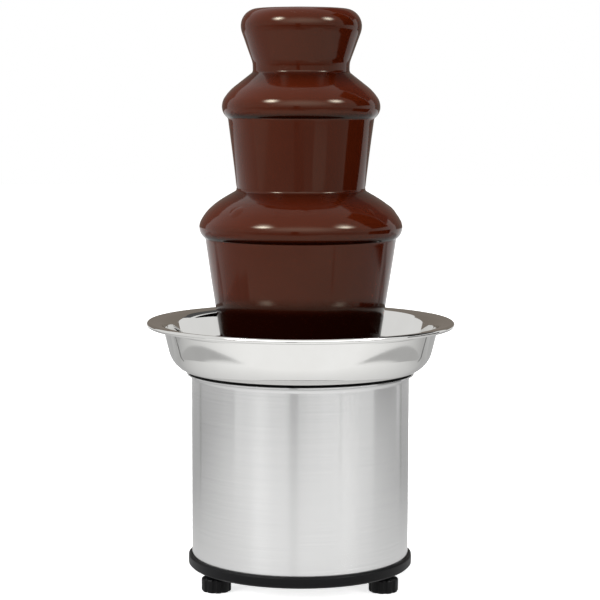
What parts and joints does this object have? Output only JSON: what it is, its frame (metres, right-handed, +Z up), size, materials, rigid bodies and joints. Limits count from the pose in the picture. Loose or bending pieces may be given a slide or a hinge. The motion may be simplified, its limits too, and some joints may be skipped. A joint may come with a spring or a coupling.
{
  "type": "chocolate fountain",
  "caption": "Table-top chocolate fountain: satin steel drum with a heated polished basin, and a tube tower whose auger lifts chocolate over a crown and domed tiers.",
  "frame": {"origin": "on the table, under the centre of the basin", "axes": "+Z up along the tower, front towards -Y, controls at +Y"},
  "size_m": [0.2174, 0.2174, 0.4064],
  "materials": {
    "satin_steel": "satin stainless steel with a fine vertical grain",
    "polished_steel": "mirror-polished stainless steel",
    "zinc_steel": "plain zinc-plated steel",
    "black_plastic": "satin black moulding",
    "black_rubber": "matt black rubber",
    "bronze": "plain bronze",
    "copper_winding": "enamelled copper wire",
    "white_nylon": "natural white nylon",
    "chocolate": "glossy liquid milk chocolate"
  },
  "bodies": {
    "base": {"drum": "satin_steel", "base_plate": "black_plastic", "basin": "polished_steel", "basin_gasket": "black_rubber", "tower_pins": "polished_steel", "seal_boss": "polished_steel", "boss_nut": "zinc_steel", "shaft_bush": "bronze", "shaft_seal": "black_rubber", "heater_ring": "zinc_steel", "heater_clamp": "zinc_steel", "thermal_cutout": "black_plastic", "tie_rods": "zinc_steel", "rod_nuts": "zinc_steel", "motor_bracket": "zinc_steel", "gear_plate": "zinc_steel", "gear_spacers": "zinc_steel", "output_bushes": "bronze", "idler_axle": "zinc_steel", "motor_core": "zinc_steel", "motor_coil": "copper_winding", "motor_bridge": "zinc_steel", "motor_screws": "zinc_steel", "motor_bushes": "bronze", "thermostat": "zinc_steel", "dial_nut": "zinc_steel", "switch_body": "black_plastic", "cord_gland": "black_plastic", "gland_nut": "black_plastic", "terminal_block": "white_nylon", "wiring": "black_rubber", "foot_inserts": "bronze", "chocolate_pool": "chocolate"},
    "drive": {"output_shaft": "polished_steel", "output_gear": "white_nylon", "drive_pin": "polished_steel", "auger": "white_nylon"},
    "idler": {"idler_gear": "white_nylon"},
    "rotor": {"rotor_core": "zinc_steel", "rotor_shaft": "polished_steel", "motor_pinion": "bronze", "cooling_fan": "black_plastic"},
    "tower": {"cylinder_tube": "polished_steel"},
    "lower_tier_set": {"lower_tier": "polished_steel", "lower_flow": "chocolate"},
    "upper_tier_set": {"upper_tier": "polished_steel", "upper_flow": "chocolate"},
    "crown_set": {"crown": "polished_steel", "crown_flow": "chocolate"},
    "dial": {"heat_dial": "black_plastic", "dial_spindle": "polished_steel"},
    "rocker": {"motor_rocker": "black_plastic"},
    "foot_1_screw": {"foot_1_stud": "zinc_steel"},
    "foot_1_grip": {"foot_1_knob": "black_plastic"},
    "foot_2_screw": {"foot_2_stud": "zinc_steel"},
    "foot_2_grip": {"foot_2_knob": "black_plastic"},
    "foot_3_screw": {"foot_3_stud": "zinc_steel"},
    "foot_3_grip": {"foot_3_knob": "black_plastic"}
  },
  "joints": [
    {"name": "auger_spin", "type": "hinge", "parent": "base", "child": "drive", "pos_m": [0, 0, 0.16], "axis": [0, 0, 1], "continuous": true},
    {"name": "idler_spin", "type": "hinge", "parent": "base", "child": "idler", "pos_m": [-0.03118, -0.018, 0.108], "axis": [0, 0, 1], "continuous": true},
    {"name": "rotor_spin", "type": "hinge", "parent": "base", "child": "rotor", "pos_m": [-0.00299, -0.02826, 0.08], "axis": [0, 0, 1], "continuous": true},
    {"name": "heat_dial_turn", "type": "hinge", "parent": "base", "child": "dial", "pos_m": [-0.02736, 0.07518, 0.0888], "axis": [0.342, -0.9397, 0], "range_deg": [0, 270]},
    {"name": "motor_rocker_tip", "type": "hinge", "parent": "base", "child": "rocker", "pos_m": [0.02617, 0.07189, 0.0888], "axis": [0.9397, -0.342, 0], "range_deg": [0, 18]},
    {"name": "foot_1_lower", "type": "slide", "parent": "base", "child": "foot_1_screw", "axis": [0, 0, -1], "range_m": [0, 0.008]},
    {"name": "foot_1_turn", "type": "hinge", "parent": "foot_1_screw", "child": "foot_1_grip", "pos_m": [0.05837, -0.0337, 0.006], "axis": [0, 0, -1], "range_deg": [0, 2305]},
    {"name": "foot_2_lower", "type": "slide", "parent": "base", "child": "foot_2_screw", "axis": [0, 0, -1], "range_m": [0, 0.008]},
    {"name": "foot_2_turn", "type": "hinge", "parent": "foot_2_screw", "child": "foot_2_grip", "pos_m": [0, 0.0674, 0.006], "axis": [0, 0, -1], "range_deg": [0, 2305]},
    {"name": "foot_3_lower", "type": "slide", "parent": "base", "child": "foot_3_screw", "axis": [0, 0, -1], "range_m": [0, 0.008]},
    {"name": "foot_3_turn", "type": "hinge", "parent": "foot_3_screw", "child": "foot_3_grip", "pos_m": [-0.05837, -0.0337, 0.006], "axis": [0, 0, -1], "range_deg": [0, 2305]},
    {"name": "tower_lift", "type": "slide", "parent": "base", "child": "tower", "axis": [0, 0, 1], "range_m": [0, 0.235]},
    {"name": "lower_tier_lift", "type": "slide", "parent": "tower", "child": "lower_tier_set", "axis": [0, 0, 1], "range_m": [0, 0.13]},
    {"name": "upper_tier_lift", "type": "slide", "parent": "lower_tier_set", "child": "upper_tier_set", "axis": [0, 0, 1], "range_m": [0, 0.05]},
    {"name": "crown_lift", "type": "slide", "parent": "upper_tier_set", "child": "crown_set", "axis": [0, 0, 1], "range_m": [0, 0.03]}
  ],
  "couplings": [
    {"joint": "idler_spin", "follows": "auger_spin", "ratio": -3.5},
    {"joint": "rotor_spin", "follows": "auger_spin", "ratio": 14},
    {"joint": "foot_1_turn", "follows": "foot_1_lower", "rad_per_m": 5026.5},
    {"joint": "foot_2_turn", "follows": "foot_2_lower", "rad_per_m": 5026.5},
    {"joint": "foot_3_turn", "follows": "foot_3_lower", "rad_per_m": 5026.5}
  ]
}
